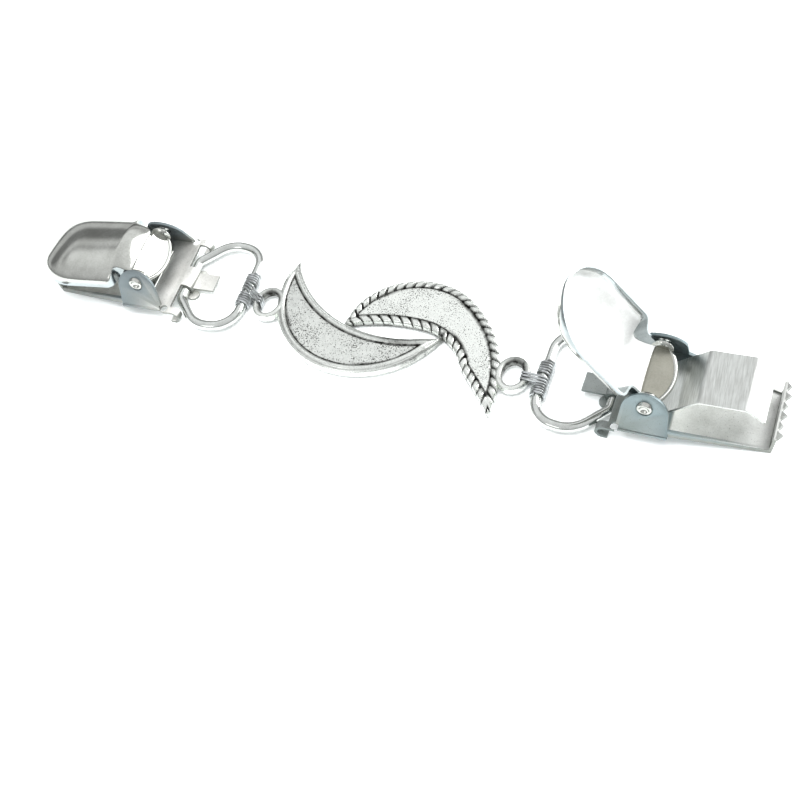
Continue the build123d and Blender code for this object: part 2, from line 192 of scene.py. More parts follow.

# %% [markdown]
# The clips and rings are steel with bright nickel plate. One colour and one roughness would look poured.
# Handling leaves real plate hazy in patches and sets fine specks in it, so a slow noise drives the
# roughness, a fine one a very shallow bump, and a third the specks. The mark "inside" tells apart the
# outside, the edges, painted blue grey as shade, the inside of the cap, painted white and made less metallic
# as a painted highlight, and the tail's inner face, painted a darker beige grey: 0, 0.25, 0.5 and 1. A
# second material for each would need the mesh to be cut up, and their edges would be hard.

# %% Nickel plate
# Painted light on the lever: the cap's inside is painted near white as a highlight, and its edges are
# painted blue grey as shade. The tail's inner face is a darker beige grey.
CAP_INSIDE_HIGHLIGHT = (0.82, 0.83, 0.82)
DARK_TAIL_GREY = (0.34, 0.335, 0.29)
EDGE_SHADE = (0.40, 0.44, 0.45)
SPECK = (0.16, 0.15, 0.13, 1)
DULLED = (0.78, 0.78, 0.77, 1)


def nickel(name, color, roughness, haze, speck, metallic=1.0, shade=None):
    """Bright plate; shade adds what a piece needs between the plate's colour and its specks."""
    plate = Finish(name, color, metallic, roughness)
    cloud = plate.noise(260, 5)
    fine = plate.noise(3200, 3, 0.7)
    dots = plate.step(plate.noise(4200, 3, 0.6), 0.60, 0.72)
    inside = plate.mark("inside")
    # Where the cap's inside carries its painted highlight, the plate is made less metallic, so that the
    # white shows under any light.
    cap_highlight = plate.step(inside, 0.3, 0.45) * plate.step(inside, 0.9, 0.55)
    plate.feed("Roughness", roughness + haze * cloud + speck * 0.2 * dots + 0.4 * inside)
    plate.feed("Metallic", metallic - 0.6 * cap_highlight)
    stops = [(0, color), (0.12, color), (0.25, EDGE_SHADE), (0.4, CAP_INSIDE_HIGHLIGHT), (0.6, CAP_INSIDE_HIGHLIGHT), (1, DARK_TAIL_GREY)]
    faces = plate.node("ShaderNodeValToRGB", {"stops": stops}, {0: inside})
    darken = {"data_type": "RGBA", "blend_type": "MULTIPLY"}
    dull = plate.node("ShaderNodeMix", darken, {0: 1.0, 6: faces, 7: DULLED}, output=2)
    patchy = plate.mix(plate.step(cloud * 0.7 + fine * 0.3, 0.35, 0.68), dull, faces)
    shaded = shade(plate, patchy) if shade else patchy
    plate.feed("Base Color", plate.mix(dots * (speck * 0.45), shaded, SPECK))
    plate.bump(fine * 0.4 + dots * 0.6, 0.35, speck * 0.02 * MM)
    return plate


lever_nickel = nickel("lever nickel", (0.56, 0.57, 0.54), 0.07, 0.08, 0.3)
ring_nickel = nickel("ring nickel", (0.66, 0.68, 0.66), 0.10, 0.08, 0.2)
print("plate for", lever_nickel.material.name, "and", ring_nickel.material.name)

# %% [markdown]
# The bases have the same plate, duller from the press. Their ears are painted a dark blue grey as a painted
# reflection, their walls are painted darker as shade, and the shadowed wing by the ring is darker too. Each
# of these is one more mix over the plate's colour, by a mark or by how upright the face is.

# %% The bases' plate
WALL_SHADE = (0.25, 0.26, 0.24, 1)
SHADOW = (0.16, 0.20, 0.20, 1)


def base_nickel(name, color, metallic, ear):
    # Painted shade on the upright walls, a painted reflection on the ears, and the painted shadow on the
    # wing by the ring.
    def shade(plate, patchy):
        shaded_walls = plate.mix(plate.upright(), patchy, WALL_SHADE)
        reflected_ears = plate.mix(plate.mark("ear"), shaded_walls, (*ear, 1))
        return plate.mix(plate.mark("shadow"), reflected_ears, SHADOW)

    return nickel(name, color, 0.42, 0.14, 1.0, metallic, shade)


# The two bases are lit and shaded copies of one plate. The left is painted brighter and made less metallic,
# the right is painted darker, and their ears' painted reflections differ as well.
clip_nickel = {
    "left": base_nickel("left clip nickel", (0.80, 0.80, 0.77), 0.7, (0.17, 0.20, 0.21)),
    "right": base_nickel("right clip nickel", (0.74, 0.75, 0.73), 1.0, (0.23, 0.28, 0.29)),
}
print("plate for", [plate.material.name for plate in clip_nickel.values()])

# %% [markdown]
# The tongue is spring steel, brushed across its width. Brushing could be an
# anisotropic shader, but its streaks can't be seen one by one. A noise that is
# stretched along the brushing gives real lines, which drive roughness and bump.

# %% Brushed spring steel
BRUSH_DARK = (0.45, 0.46, 0.44, 1)
BRUSH_LIGHT = (0.66, 0.68, 0.66, 1)


def brushed():
    steel = Finish("brushed steel", (0.76, 0.75, 0.73), 1.0, 0.30)
    stretched = steel.node("ShaderNodeMapping", {}, {"Vector": steel.place(), "Scale": (1.0, 0.06, 1.0)})
    lines = steel.noise(5200, 3, 0.6, stretched)
    streaks = steel.step(0.75 * lines + 0.25 * steel.noise(300, 4), 0.3, 0.7)
    steel.feed("Roughness", 0.22 + 0.22 * lines)
    steel.feed("Base Color", steel.mix(streaks, BRUSH_DARK, BRUSH_LIGHT))
    steel.bump(lines, 0.5, 0.012 * MM)
    return steel


tongue_steel = brushed()
print("made", tongue_steel.material.name)

# %% [markdown]
# The ornament is cast and silvered, then blackened and wiped: the black stays in the pits and hollows, and
# the high rims are bright. Darkening that follows the shape could be found by the shader from the curve of
# the mesh, but slowly.
# The mesh stores how dark each point is, from patina in the hollows and from painted shade on the casting's
# walls, the eyes' limbs and beside the upper crescent. It also stores how pitted each point is. Noise adds
# the pits, which crowd together where a slower noise is high.

# %% Antiqued silver
SILVER = (0.88, 0.905, 0.865, 1)
BLACKENED = (0.018, 0.017, 0.015, 1)


def antique_silver():
    silver = Finish("antiqued silver", SILVER[:3], 1.0, 0.25)
    drift = silver.step(silver.noise(330, 3, 0.5), 0.38, 0.62)
    pits = silver.step(silver.noise(4300, 2, 0.55) + 0.07 * drift, 0.625, 0.665)
    grime = silver.step(silver.noise(900, 5, 0.6), 0.40, 0.70)
    dark = silver.mark("hollow") * (0.8 + 0.35 * grime) + pits * silver.mark("pitted")
    dark = silver.node("ShaderNodeMath", {"operation": "MINIMUM"}, {0: dark, 1: 1.0})
    silver.feed("Base Color", silver.mix(dark, SILVER, BLACKENED))
    silver.feed("Roughness", 0.22 + 0.28 * dark + 0.06 * grime)
    silver.bump(1 - pits, 0.5, 0.02 * MM)
    return silver


ornament_silver = antique_silver()
print("made", ornament_silver.material.name)

# %% [markdown]
# The lashing is soft, dull wire. It is handled as it is wound, so its grey is uneven.
# The wire is too thin for bumps to show, and one cloud for colour and roughness does.

# %% Dull lashing wire
WIRE_DARK = (0.30, 0.31, 0.31, 1)
WIRE_LIGHT = (0.58, 0.60, 0.61, 1)


def lashing_finish():
    wire = Finish("lashing wire", (0.52, 0.54, 0.55), 1.0, 0.35)
    cloud = wire.noise(900, 4)
    wire.feed("Base Color", wire.mix(wire.step(cloud, 0.35, 0.65), WIRE_DARK, WIRE_LIGHT))
    wire.feed("Roughness", 0.24 + 0.2 * cloud)
    return wire


lashing_grey = lashing_finish()
print("made", lashing_grey.material.name)

# %% [markdown]
# Each clip is drawn once, in its own frame: x runs from the rolled hem to the jaw,
# y across, z up from the plate's underside. The numbers could be typed for either
# clip in the world, but then the two would drift apart. The hinge on the D-ring's bar
# says where the frame lies, so a drawn point goes to its place on either clip.

# %% The clips' frames
SIDES = ("left", "right")
BAR_AT = Vector((1.5, 0, -1.0))
PIVOT_AT = Vector((7.9, 0, 5.3))


def joint_frame(name):
    """The frame at a joint: y along its axis as the clip's bar has it, z up."""
    joint = next(joint for joint in frame["joints"] if joint["name"] == name)
    along = Vector(joint["axis"]).normalized()
    up = Vector((0, 0, 1))
    turn = Matrix((along.cross(up), along, up)).transposed().to_4x4()
    return Matrix.Translation(Vector(joint["pos_m"])) @ turn


ring_frame = {side: joint_frame(side + "_clip_swing") for side in SIDES}
clip_frame = {side: place @ Matrix.Translation(-BAR_AT * MM) for side, place in ring_frame.items()}
for side in SIDES:
    print(side, "clip frame at", [round(value / MM, 2) for value in clip_frame[side].translation], "mm")

# %% [markdown]
# All shapes but the bases are meshes whose corners and faces are worked out here, in
# millimetres. Blender's own primitives with modifiers could start some of them, but a
# formula is closer to how a sheet is pressed or a wire bent, and its sizes can be
# read. This cell makes a mesh from points, and joins corners that fall together.


# %% Meshes from points
def mesh_piece(name, points, faces, place, smooth=True):
    data = bpy.data.meshes.new(name)
    data.from_pydata([tuple(place @ (Vector(point) * MM)) for point in points], [], faces)
    data.validate()
    if smooth:
        data.polygons.foreach_set("use_smooth", [True] * len(data.polygons))
    piece = bpy.data.objects.new(name, data)
    bpy.context.scene.collection.objects.link(piece)
    return piece


def store_mark(piece, name, values):
    """A number at each corner, for the finish to read."""
    piece.data.attributes.new(name, "FLOAT", "POINT").data.foreach_set("value", values)


def weld(piece, distance=0.001):
    """Join corners that lie on one another and turn every face outward."""
    shape = bmesh.new()
    shape.from_mesh(piece.data)
    bmesh.ops.remove_doubles(shape, verts=shape.verts, dist=distance * MM)
    bmesh.ops.recalc_face_normals(shape, faces=shape.faces)
    shape.to_mesh(piece.data)
    shape.free()
    return piece


print("meshes are drawn in mm and stored in m, so 1 mm is", MM)

# %% [markdown]
# A press or a tumbler rounds every sharp edge a little, and that rounding catches the light. It could be
# faked by the shader, but a narrow bevel is true geometry. A finished piece is painted, rides on the body
# that carries it, and stands in for its node of the packed model.


# %% Rounding and handing over
def soften(piece, width, angle, segments=2):
    bevel = piece.modifiers.new("rounded edges", "BEVEL")
    bevel.width = width * MM
    bevel.segments = segments
    bevel.limit_method = "ANGLE"
    bevel.angle_limit = math.radians(angle)
    bevel.harden_normals = True
    return piece


def settle(piece, node, body, finish):
    """Paint a finished piece and let it stand for its CAD node, on the same body."""
    finish.paint(piece)
    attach(piece, body)
    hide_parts(node)
    return piece


print("pieces will stand in for", len(frame["nodes"]), "nodes")

# %% [markdown]
# Wire could be a Blender curve with a round bevel. A tube of one's own has exactly
# the corners that are wanted, and each ring of corners is carried from the one
# before, so that the tube never twists.


# %% Wire along a line
def tube(name, path, radius, sides, place, closed=False):
    """A round wire through the points; each ring of corners stands across the line."""
    line = [Vector(point) for point in path]
    count = len(line)
    points = []
    across = None
    for index in range(count):
        before = line[(index - 1) % count] if closed or index else line[0]
        after = line[(index + 1) % count] if closed or index < count - 1 else line[-1]
        along = (after - before).normalized()
        across = across or along.orthogonal().normalized()
        across = (across - along * across.dot(along)).normalized()
        other = along.cross(across)
        for number in range(sides):
            turn = 2 * math.pi * number / sides
            points.append(line[index] + radius * (math.cos(turn) * across + math.sin(turn) * other))
    faces = []
    for index in range(count if closed else count - 1):
        start, end = index * sides, (index + 1) % count * sides
        for number in range(sides):
            beside = (number + 1) % sides
            faces.append((start + number, start + beside, end + beside, end + number))
    if not closed:
        faces.append(tuple(reversed(range(sides))))
        faces.append(tuple(range((count - 1) * sides, count * sides)))
    return mesh_piece(name, points, faces, place)


print("a wire with 12 sides is", round(100 * (1 - math.cos(math.pi / 12)), 1), "percent off round")

# %% [markdown]
# Bent wire and strip run straight between bends of a set radius. A spline through the
# corners would bulge, so each bend is a true arc that touches both straights.


# %% Lines with rounded corners
BEND_STEPS = 14


def rounded_path(corners, radii):
    """A closed line with rounded corners, in x and y."""
    line = []
    count = len(corners)
    for index in range(count):
        corner = Vector(corners[index])
        back = (Vector(corners[index - 1]) - corner).normalized()
        ahead = (Vector(corners[(index + 1) % count]) - corner).normalized()
        half = back.angle(ahead) / 2
        centre = corner + (back + ahead).normalized() * radii[index] / math.sin(half)
        reach = radii[index] / math.tan(half)
        first = corner + back * reach - centre
        last = corner + ahead * reach - centre
        sweep = first.angle(last)
        for number in range(BEND_STEPS + 1):
            share = number / BEND_STEPS
            spot = (math.sin((1 - share) * sweep) * first + math.sin(share * sweep) * last) / math.sin(sweep)
            line.append(centre + spot)
    return [(point.x, point.y, 0) for point in line]


print("a square has", len(rounded_path([(0, 0), (9, 0), (9, 9), (0, 9)], [1] * 4)), "points")

# %% [markdown]
# Each D-ring is one bent wire: a short bar in the clip's hem, two arms that spread
# out of its notches, and a straight side for the lashing. Its two ends meet inside
# the hem, where they don't show, so a closed tube is enough, and its round section
# gives the long reflections of wire.

# %% D-rings
RING_CORNERS = [(0, 4.6), (-5.2, 10.15), (-12.7, 9.15), (-12.7, -9.15), (-5.2, -10.15), (0, -4.6)]
RING_BENDS = [1.7, 5.6, 4.6, 4.6, 5.6, 1.7]
RING_WIRE = 0.95
for side in SIDES:
    bent = rounded_path(RING_CORNERS, RING_BENDS)
    wire = tube(side + "_ring_wire", bent, RING_WIRE, 28, ring_frame[side], closed=True)
    settle(wire, side + "_d_ring", "chain", ring_nickel)
    print(wire.name, len(wire.data.vertices), "vertices")

# %% [markdown]
# The lashing is one thin wire: five turns round the ring, three long turns through
# the ornament's eye, and five turns again. Thirteen separate loops would be simpler,
# but the slant of a wound wire shows. So it is a helix round the ring's straight side,
# and its three long turns reach out to the eye's nearer limb.

# %% The route of the lashing
EYE_AT = {"left": Vector((-23.488, 2.324, 1.5)), "right": Vector((25.7205, -6.366, 1.5))}
EYE_HOLE = 2.1
HOLE_SHARE = 0.344
CLEARANCE = 0.325
RING_SIDE = -12.7
LASH_RADIUS = 1.2
SHORT_TURNS = 5
LONG_TURNS = 3
SHORT_DROP = 0.5
FIRST_DROP = 0.85
LONG_DROP = 0.31


def wind(points, y, drop, count):
    """Part of a turn round the ring's side, in 24ths, that sinks by drop."""
    for number in range(count):
        turn = math.pi / 2 - 2 * math.pi * number / 24
        across, up = LASH_RADIUS * math.cos(turn), LASH_RADIUS * math.sin(turn)
        points.append((RING_SIDE + across, y - drop * number / count, up))
    return y - drop


def reach_out(points, y, far, hole):
    """Under the ring, out to the eye's limb, up through its hole and back."""
    points.append((RING_SIDE, y, -LASH_RADIUS))
    points.append((RING_SIDE + 0.5, y * 0.8 + hole * 0.2, -LASH_RADIUS - 0.02))
    points.append((far + 0.5, hole, -LASH_RADIUS))
    points.append((far + 0.1, hole - 0.05, -LASH_RADIUS + 0.25))
    points.append((far, hole - 0.15, 0))
    points.append((far + 0.1, hole - 0.25, LASH_RADIUS - 0.25))
    points.append((far + 0.5, hole - LONG_DROP, LASH_RADIUS))
    return y - LONG_DROP


def lashing_path(eye, shift):
    points = []
    far = eye.x + EYE_HOLE * math.sqrt(1 - HOLE_SHARE ** 2) - CLEARANCE
    y = shift + (2 * SHORT_TURNS * SHORT_DROP + FIRST_DROP + 2 * LONG_TURNS * LONG_DROP) / 2
    for _ in range(SHORT_TURNS):
        y = wind(points, y, SHORT_DROP, 24)
    for number in range(LONG_TURNS):
        y = wind(points, y, LONG_DROP if number else FIRST_DROP, 12)
        y = reach_out(points, y, far, eye.y + (1 - number) * 2 * LONG_DROP)
    for _ in range(SHORT_TURNS):
        y = wind(points, y, SHORT_DROP, 24)
    return points


eye_in_ring = {side: ring_frame[side].inverted() @ (EYE_AT[side] * MM) / MM for side in SIDES}
for side in SIDES:
    print(side, "eye in its ring's frame:", [round(value, 2) for value in eye_in_ring[side]])

# %% [markdown]
# The route has corners that stiff wire can't have. Each span between two points is
# turned into a curve that leaves along the route's run there, which keeps the wire
# through every point, and the tube follows it.

# %% Lashings
LASH_SHIFT = {"left": 0.5, "right": -1.6}
LASH_WIRE = 0.22
SPAN_STEPS = 10
STEP_LENGTH = 0.12


def smooth_line(points):
    line = [Vector(point) for point in points]
    ends = list(zip([line[0], *line[:-1]], [*line[1:], line[-1]]))
    runs = [(ahead - behind).normalized() for behind, ahead in ends]
    curve = []
    for index in range(len(line) - 1):
        first, last = line[index], line[index + 1]
        reach = (last - first).length
        count = max(1, min(SPAN_STEPS, round(reach / STEP_LENGTH)))
        for number in range(count):
            t = number / count
            curve.append(
                (2 * t ** 3 - 3 * t ** 2 + 1) * first + (t ** 3 - 2 * t ** 2 + t) * reach * runs[index]
                + (3 * t ** 2 - 2 * t ** 3) * last + (t ** 3 - t ** 2) * reach * runs[index + 1]
            )
    return [*curve, line[-1]]


for side in SIDES:
    path = smooth_line(lashing_path(eye_in_ring[side], LASH_SHIFT[side]))
    wire = tube(side + "_lashing", path, LASH_WIRE, 12, ring_frame[side])
    settle(wire, side + "_wire_wrap", "chain", lashing_grey)
    print(wire.name, "wire length", round(sum((b - a).length for a, b in zip(path, path[1:])), 1), "mm")

# %% [markdown]
# The ornament is one casting of two crescents. Each lies between two edges made of
# arcs, and the inner edge of the rope's ends in a straight. They are drawn from the
# middle between the crescent's tips and then turned into place. To shape its face,
# every point needs to know how far it is from the nearer edge and how far along that
# edge it lies, so the edges are spread into evenly spaced points.


# %% Edges of the crescents
def three_point_arc(first, middle, last, count):
    """Points along the circle through three points."""
    (ax, ay), (bx, by), (cx, cy) = first, middle, last
    scale = 2 * (ax * (by - cy) + bx * (cy - ay) + cx * (ay - by))
    squares = [x * x + y * y for x, y in (first, middle, last)]
    ux = (squares[0] * (by - cy) + squares[1] * (cy - ay) + squares[2] * (ay - by)) / scale
    uy = (squares[0] * (cx - bx) + squares[1] * (ax - cx) + squares[2] * (bx - ax)) / scale
    start = math.atan2(ay - uy, ax - ux)
    via = (math.atan2(by - uy, bx - ux) - start) % (2 * math.pi)
    end = (math.atan2(cy - uy, cx - ux) - start) % (2 * math.pi)
    if via > end:
        end -= 2 * math.pi
    radius = math.hypot(ax - ux, ay - uy)
    angles = start + end * np.linspace(0, 1, count)
    return np.stack((ux + radius * np.cos(angles), uy + radius * np.sin(angles)), axis=1)


def spread(line, count):
    """The same line with its points evenly spaced, and its length."""
    steps = np.hypot(*np.diff(line, axis=0).T)
    along = np.concatenate(([0], np.cumsum(steps)))
    even = np.linspace(0, along[-1], count)
    points = np.stack([np.interp(even, along, line[:, axis]) for axis in (0, 1)], axis=1)
    return points, along[-1]


PLAIN_TIP = 17.6
PLAIN_CROWN = 17.8
PLAIN_HOLLOW = 7.5
plain_edges = (
    three_point_arc((-PLAIN_TIP, 0), (0, PLAIN_CROWN), (PLAIN_TIP, 0), 900),
    three_point_arc((-PLAIN_TIP, 0), (0, PLAIN_HOLLOW), (PLAIN_TIP, 0), 900),
)
ROPE_TIP = 17.2
ROPE_CROWN = (0, 17.5994)
ROPE_MIDDLE = (-3.096, 8.075)
ROPE_BEND = (6.88, 4.93)
rope_edges = (
    np.concatenate((
        three_point_arc((-ROPE_TIP, 0), (-14.0008, 13.9048), ROPE_CROWN, 500),
        three_point_arc(ROPE_CROWN, (9.9072, 12.194), (ROPE_TIP, 0), 500),
    )),
    np.concatenate((
        three_point_arc((-ROPE_TIP, 0), (-11.352, 4.59), ROPE_MIDDLE, 500),
        three_point_arc(ROPE_MIDDLE, (1.548, 7.905), ROPE_BEND, 300),
        np.linspace(ROPE_BEND, (ROPE_TIP, 0), 300),
    )),
)
for name, edges in (("plain", plain_edges), ("rope", rope_edges)):
    print(name, "edges are", [round(float(spread(edge, 2)[1]), 1) for edge in edges], "mm long")

# %% [markdown]
# The face of a crescent could be sculpted, or extruded and bevelled, but a bevel
# can't make a rim, a fine line and a sunk field at once. Here a rim is a list of
# steps: how far in from the edge, and how far below the crown. Rows of points run
# across the crescent, close together over both rims, and take their height from it.

# %% Rims and rows
PLAIN_RIM = [(0, 0.9), (0.12, 0.56), (0.3, 0.34), (0.5, 0.26), (0.57, 0.32), (0.64, 0.2), (0.88, 0.04)]
PLAIN_RIM += [(1.1, 0), (1.3, 0.06), (1.44, 0.17), (1.53, 0.34), (1.62, 0.46), (1.7, 0.47), (1.78, 0.43)]
PLAIN_RIM += [(1.95, 0.42)]
PLAIN_GROOVE = 1.7
ROPE_RIM = [(0, 0.5), (0.1, 0.28), (0.28, 0.12), (0.55, 0.03), (0.85, 0), (1.1, 0.05), (1.28, 0.17)]
ROPE_RIM += [(1.4, 0.34), (1.5, 0.47), (1.6, 0.48), (1.7, 0.43), (1.88, 0.42)]
ROPE_GROOVE = 1.6
STATIONS = 420


def rows_across(edges, steps):
    """Rows of points from the outer edge to the inner one, all along a crescent."""
    outer, inner = (spread(edge, STATIONS)[0] for edge in edges)
    rows = []
    for first, last in list(zip(outer, inner))[2:-2]:
        width = np.hypot(*(last - first))
        reach = min(steps[-1], width * 0.485)
        near = steps * reach / steps[-1]
        middle = np.linspace(reach, width - reach, 10)[1:-1]
        shares = np.concatenate((near, middle, (width - near)[::-1])) / max(width, 1e-6)
        rows.append(first + shares[:, None] * (last - first))
    return rows


print("rows across the plain crescent:", len(rows_across(plain_edges, np.array(PLAIN_RIM)[:, 0])))

# %% [markdown]
# One class holds what is known of a face: for each point its place, how far it lies
# from the edges, its drop below the crown, and two marks for the finish. The fine
# line inside the rim is the darkest, since wiping never reaches it.


# %% The face of a crescent
def nearest(points, line):
    """How far each point is from the line, and how far along the line that is."""
    gaps = np.hypot(points[:, None, 0] - line[None, :, 0], points[:, None, 1] - line[None, :, 1])
    best = gaps.argmin(axis=1)
    return gaps[np.arange(len(points)), best], best / (len(line) - 1)


class Face:
    def __init__(self, name, edges, rim, groove, place):
        self.name, self.groove, self.place = name, groove, place
        steps, drops = np.array(rim).T
        rows = rows_across(edges, steps)
        self.count = len(rows[0])
        self.flat = np.concatenate(rows)
        self.along = np.repeat(np.linspace(0, 1, len(rows)), self.count)
        self.lengths = [spread(edge, 2)[1] for edge in edges]
        self.gaps, self.spots = zip(*(nearest(self.flat, spread(edge, 1500)[0]) for edge in edges))
        self.outward = self.gaps[0] < self.gaps[1]
        self.distance = np.minimum(*self.gaps)
        self.rim = self.distance < groove
        self.drop = np.interp(self.distance, steps, drops)
        self.hollow = 1.5 * np.exp(-((self.distance - groove) / 0.17) ** 4)
        self.pitted = np.where(self.rim, 0.25, 0.95)

    def raise_to(self, thickness):
        """Heights from the drops; the face sinks a little toward both tips."""
        tips = np.interp(np.minimum(self.along, 1 - self.along), [0, 0.09], [0.62, 1.0])
        self.top = np.maximum(thickness - self.drop, 0.5) * tips


SHIFT = Vector((1.61968, -1.84374, 0))


def placed(middle, turn):
    spot = (Vector((*middle, 0)) + SHIFT) * MM
    return Matrix.Translation(spot) @ Matrix.Rotation(math.radians(turn), 4, "Z")


plain_place = placed((-6.35, 8.8), 156.6)
rope_place = placed((6.05, -5.85), -25.3)
plain_face = Face("plain_crescent", plain_edges, PLAIN_RIM, PLAIN_GROOVE, plain_place)
rope_face = Face("rope_crescent", rope_edges, ROPE_RIM, ROPE_GROOVE, rope_place)
print("points on the faces:", len(plain_face.flat), len(rope_face.flat))

# %% [markdown]
# The plain crescent's rim has a second, shallow line near its edge. Its field darkens toward one tip, its
# inner rim is darker where the two crescents meet, and so is the foot of its outer rim near the same end.
# This darkening is soft hills of the mark.


# %% The plain crescent's shades
def hill(value, middle, width):
    """1 at the middle, falling away softly on both sides."""
    return np.exp(-((value - middle) / width) ** 2)


field_shade = 0.20 + 0.14 * np.clip((plain_face.along - 0.6) / 0.4, 0, 1)
plain_face.hollow += np.where(plain_face.rim, 0.12, field_shade)
plain_face.hollow += 0.5 * hill(plain_face.distance, 0.54, 0.07)
plain_face.hollow += 0.45 * hill(plain_face.along, 0.2, 0.12) * ~plain_face.outward * plain_face.rim
at_foot = plain_face.outward * (plain_face.distance < 0.4)
plain_face.hollow += 0.6 * hill(plain_face.along, 0.12, 0.08) * at_foot
plain_face.raise_to(2.45)
print("the plain crescent stands", round(float(plain_face.top.max()), 2), "mm high")

# %% [markdown]
# The other rim is a rope: strands that slant across it with a dark cut between each
# two. Twisted tubes laid along the edge would stand too proud for a casting, so the
# cuts are pressed into the rim by a wave that runs along the edge and leans with
# the distance from it.

# %% The rope crescent's strands
STRAND_SLANT = 0.84
STRAND_DEPTH = 0.7
STRAND_PITCH = (1.95, 1.9)
STRAND_START = (0.1, 0.3)


def strand_cuts(face):
    """1 in the middle of a cut between two strands, 0 on a strand's back and off the rim."""
    aside = (face.distance - face.groove / 2) * STRAND_SLANT
    turns = [
        start + (spot * length + aside) / pitch
        for start, pitch, spot, length in zip(STRAND_START, STRAND_PITCH, face.spots, face.lengths)
    ]
    width = 0.35 + 0.4 * face.distance / face.groove
    cuts = np.clip(1 - np.abs(np.sin(np.pi * np.where(face.outward, *turns))) / width, 0, 1)
    return np.where(face.rim, cuts, 0)


cuts = strand_cuts(rope_face)
rope_face.hollow += np.where(rope_face.rim, 0.12, 0.05)
rope_face.hollow += np.clip((cuts - 0.22) * 3.5, 0, 1.2)
rope_face.drop += STRAND_DEPTH * cuts ** 1.2
rope_face.raise_to(2.3)
print("strands:", [round(length / pitch) for length, pitch in zip(rope_face.lengths, STRAND_PITCH)])

# %% [markdown]
# Where the crescents cross, the plain one lies on top. A boolean could cut the lower
# one away, at the cost of ragged faces. It is simpler to let its surface down inside
# the upper one, where it can't be seen, and to darken it along the upper one's edge.


# %% The crossing
def bow(tip, crown):
    """The middle and the radius of the arc from tip to tip over a crown."""
    middle = (crown ** 2 - tip ** 2) / (2 * crown)
    return middle, crown - middle


outer_middle, outer_radius = bow(PLAIN_TIP, PLAIN_CROWN)
inner_middle, inner_radius = bow(PLAIN_TIP, PLAIN_HOLLOW)
to_plain = plain_place.inverted() @ rope_place
let_down = 0
for index, (x, y) in enumerate(rope_face.flat):
    spot = to_plain @ Vector((x * MM, y * MM, 0)) / MM
    from_outer = outer_radius - math.hypot(spot.x, spot.y - outer_middle)
    from_inner = math.hypot(spot.x, spot.y - inner_middle) - inner_radius
    inside = min(from_outer, from_inner)
    if inside > 0.3:
        rope_face.top[index] = min(rope_face.top[index], 1.7)
        let_down += 1
    # Just outside the upper crescent, the lower one is darkened along its edge, as patina and painted shade
    # where the two meet.
    elif inside > -0.5:
        rope_face.hollow[index] = max(rope_face.hollow[index], 1 + inside)
print(let_down, "points of the rope crescent lie under the plain one")

# %% [markdown]
# Each face is closed to a casting: its rows get a foot on both sides that curves in under the edge, and a
# flat back. Extruding the face straight down would give a thick wall, while a cast edge is thin and round.
# The walls are painted darker as shade, the rope's inner wall the most.

# %% Casting the crescents
FOOT = [(1.0, 0.0), (0.45, 0.12), (0.12, 0.42), (0.0, 0.85)]
FOOT_REACH = 1.2


def foot_points(edge, inward, reach, top, dark):
    """Points from the back up to the edge, each with its darkness."""
    return [(*(edge + inward * back * reach), min(up, 0.9 * top), dark) for back, up in FOOT]


def cast_piece(face, outer_wall_shade, inner_wall_shade):
    """Closes a face with side walls and a flat back; the walls' painted shade is given."""
    count = face.count
    rows = len(face.flat) // count
    dark = np.clip(face.hollow, 0, 1)
    ring = []
    for row in range(rows):
        span = range(row * count, (row + 1) * count)
        first, last = face.flat[span[0]], face.flat[span[-1]]
        width = np.hypot(*(last - first))
        inward = (last - first) / max(width, 1e-6)
        reach = min(FOOT_REACH, width * 0.3)
        # The outer wall's painted shade, deeper near the first tip.
        outside = outer_wall_shade + 0.5 * math.exp(-(row / rows / 0.16) ** 2)
        ring += foot_points(first, inward, reach, face.top[span[0]], outside)
        ring += [(*face.flat[index], face.top[index], dark[index]) for index in span]
        ring += foot_points(last, -inward, reach, face.top[span[-1]], inner_wall_shade)[::-1]
    around = count + 2 * len(FOOT)
    faces = []
    for row in range(rows - 1):
        start = row * around
        for index in range(around):
            beside = (index + 1) % around
            faces.append((start + index, start + beside, start + around + beside, start + around + index))
    faces.append(tuple(range(around)))
    faces.append(tuple(reversed(range((rows - 1) * around, rows * around))))
    piece = mesh_piece(face.name, [point[:3] for point in ring], faces, face.place)
    feet = ((0, 0), (len(FOOT), len(FOOT)))
    store_mark(piece, "hollow", [point[3] for point in ring])
    store_mark(piece, "pitted", np.pad(face.pitted.reshape(rows, count), feet, constant_values=0.4).ravel())
    return piece


# Painted shade on the walls: light on the plain crescent, darkest on the rope's inner wall.
casting = [cast_piece(plain_face, 0.2, 0.35), cast_piece(rope_face, 0.35, 0.9)]
print("crescents:", [len(piece.data.polygons) for piece in casting], "faces")

# %% [markdown]
# An oval eye at each end takes the lashing. A torus scaled in one direction would be
# thicker at its ends, so the oval's line is drawn first and the limb's section is set
# square to it. The section is a rounded block, as a cast loop has, and the tarnish
# lies on the far side of its top.

# %% Eyes
EYE_MID = (2.48, 3.08)
EYE_LIMB = 0.62
EYE_RISE = 0.95
EYE_AROUND = 72
EYE_SECTION = 20


def blunt(value):
    """Squares a wave off a little, so that a circle becomes a rounded block."""
    return math.copysign(abs(value) ** 0.7, value)


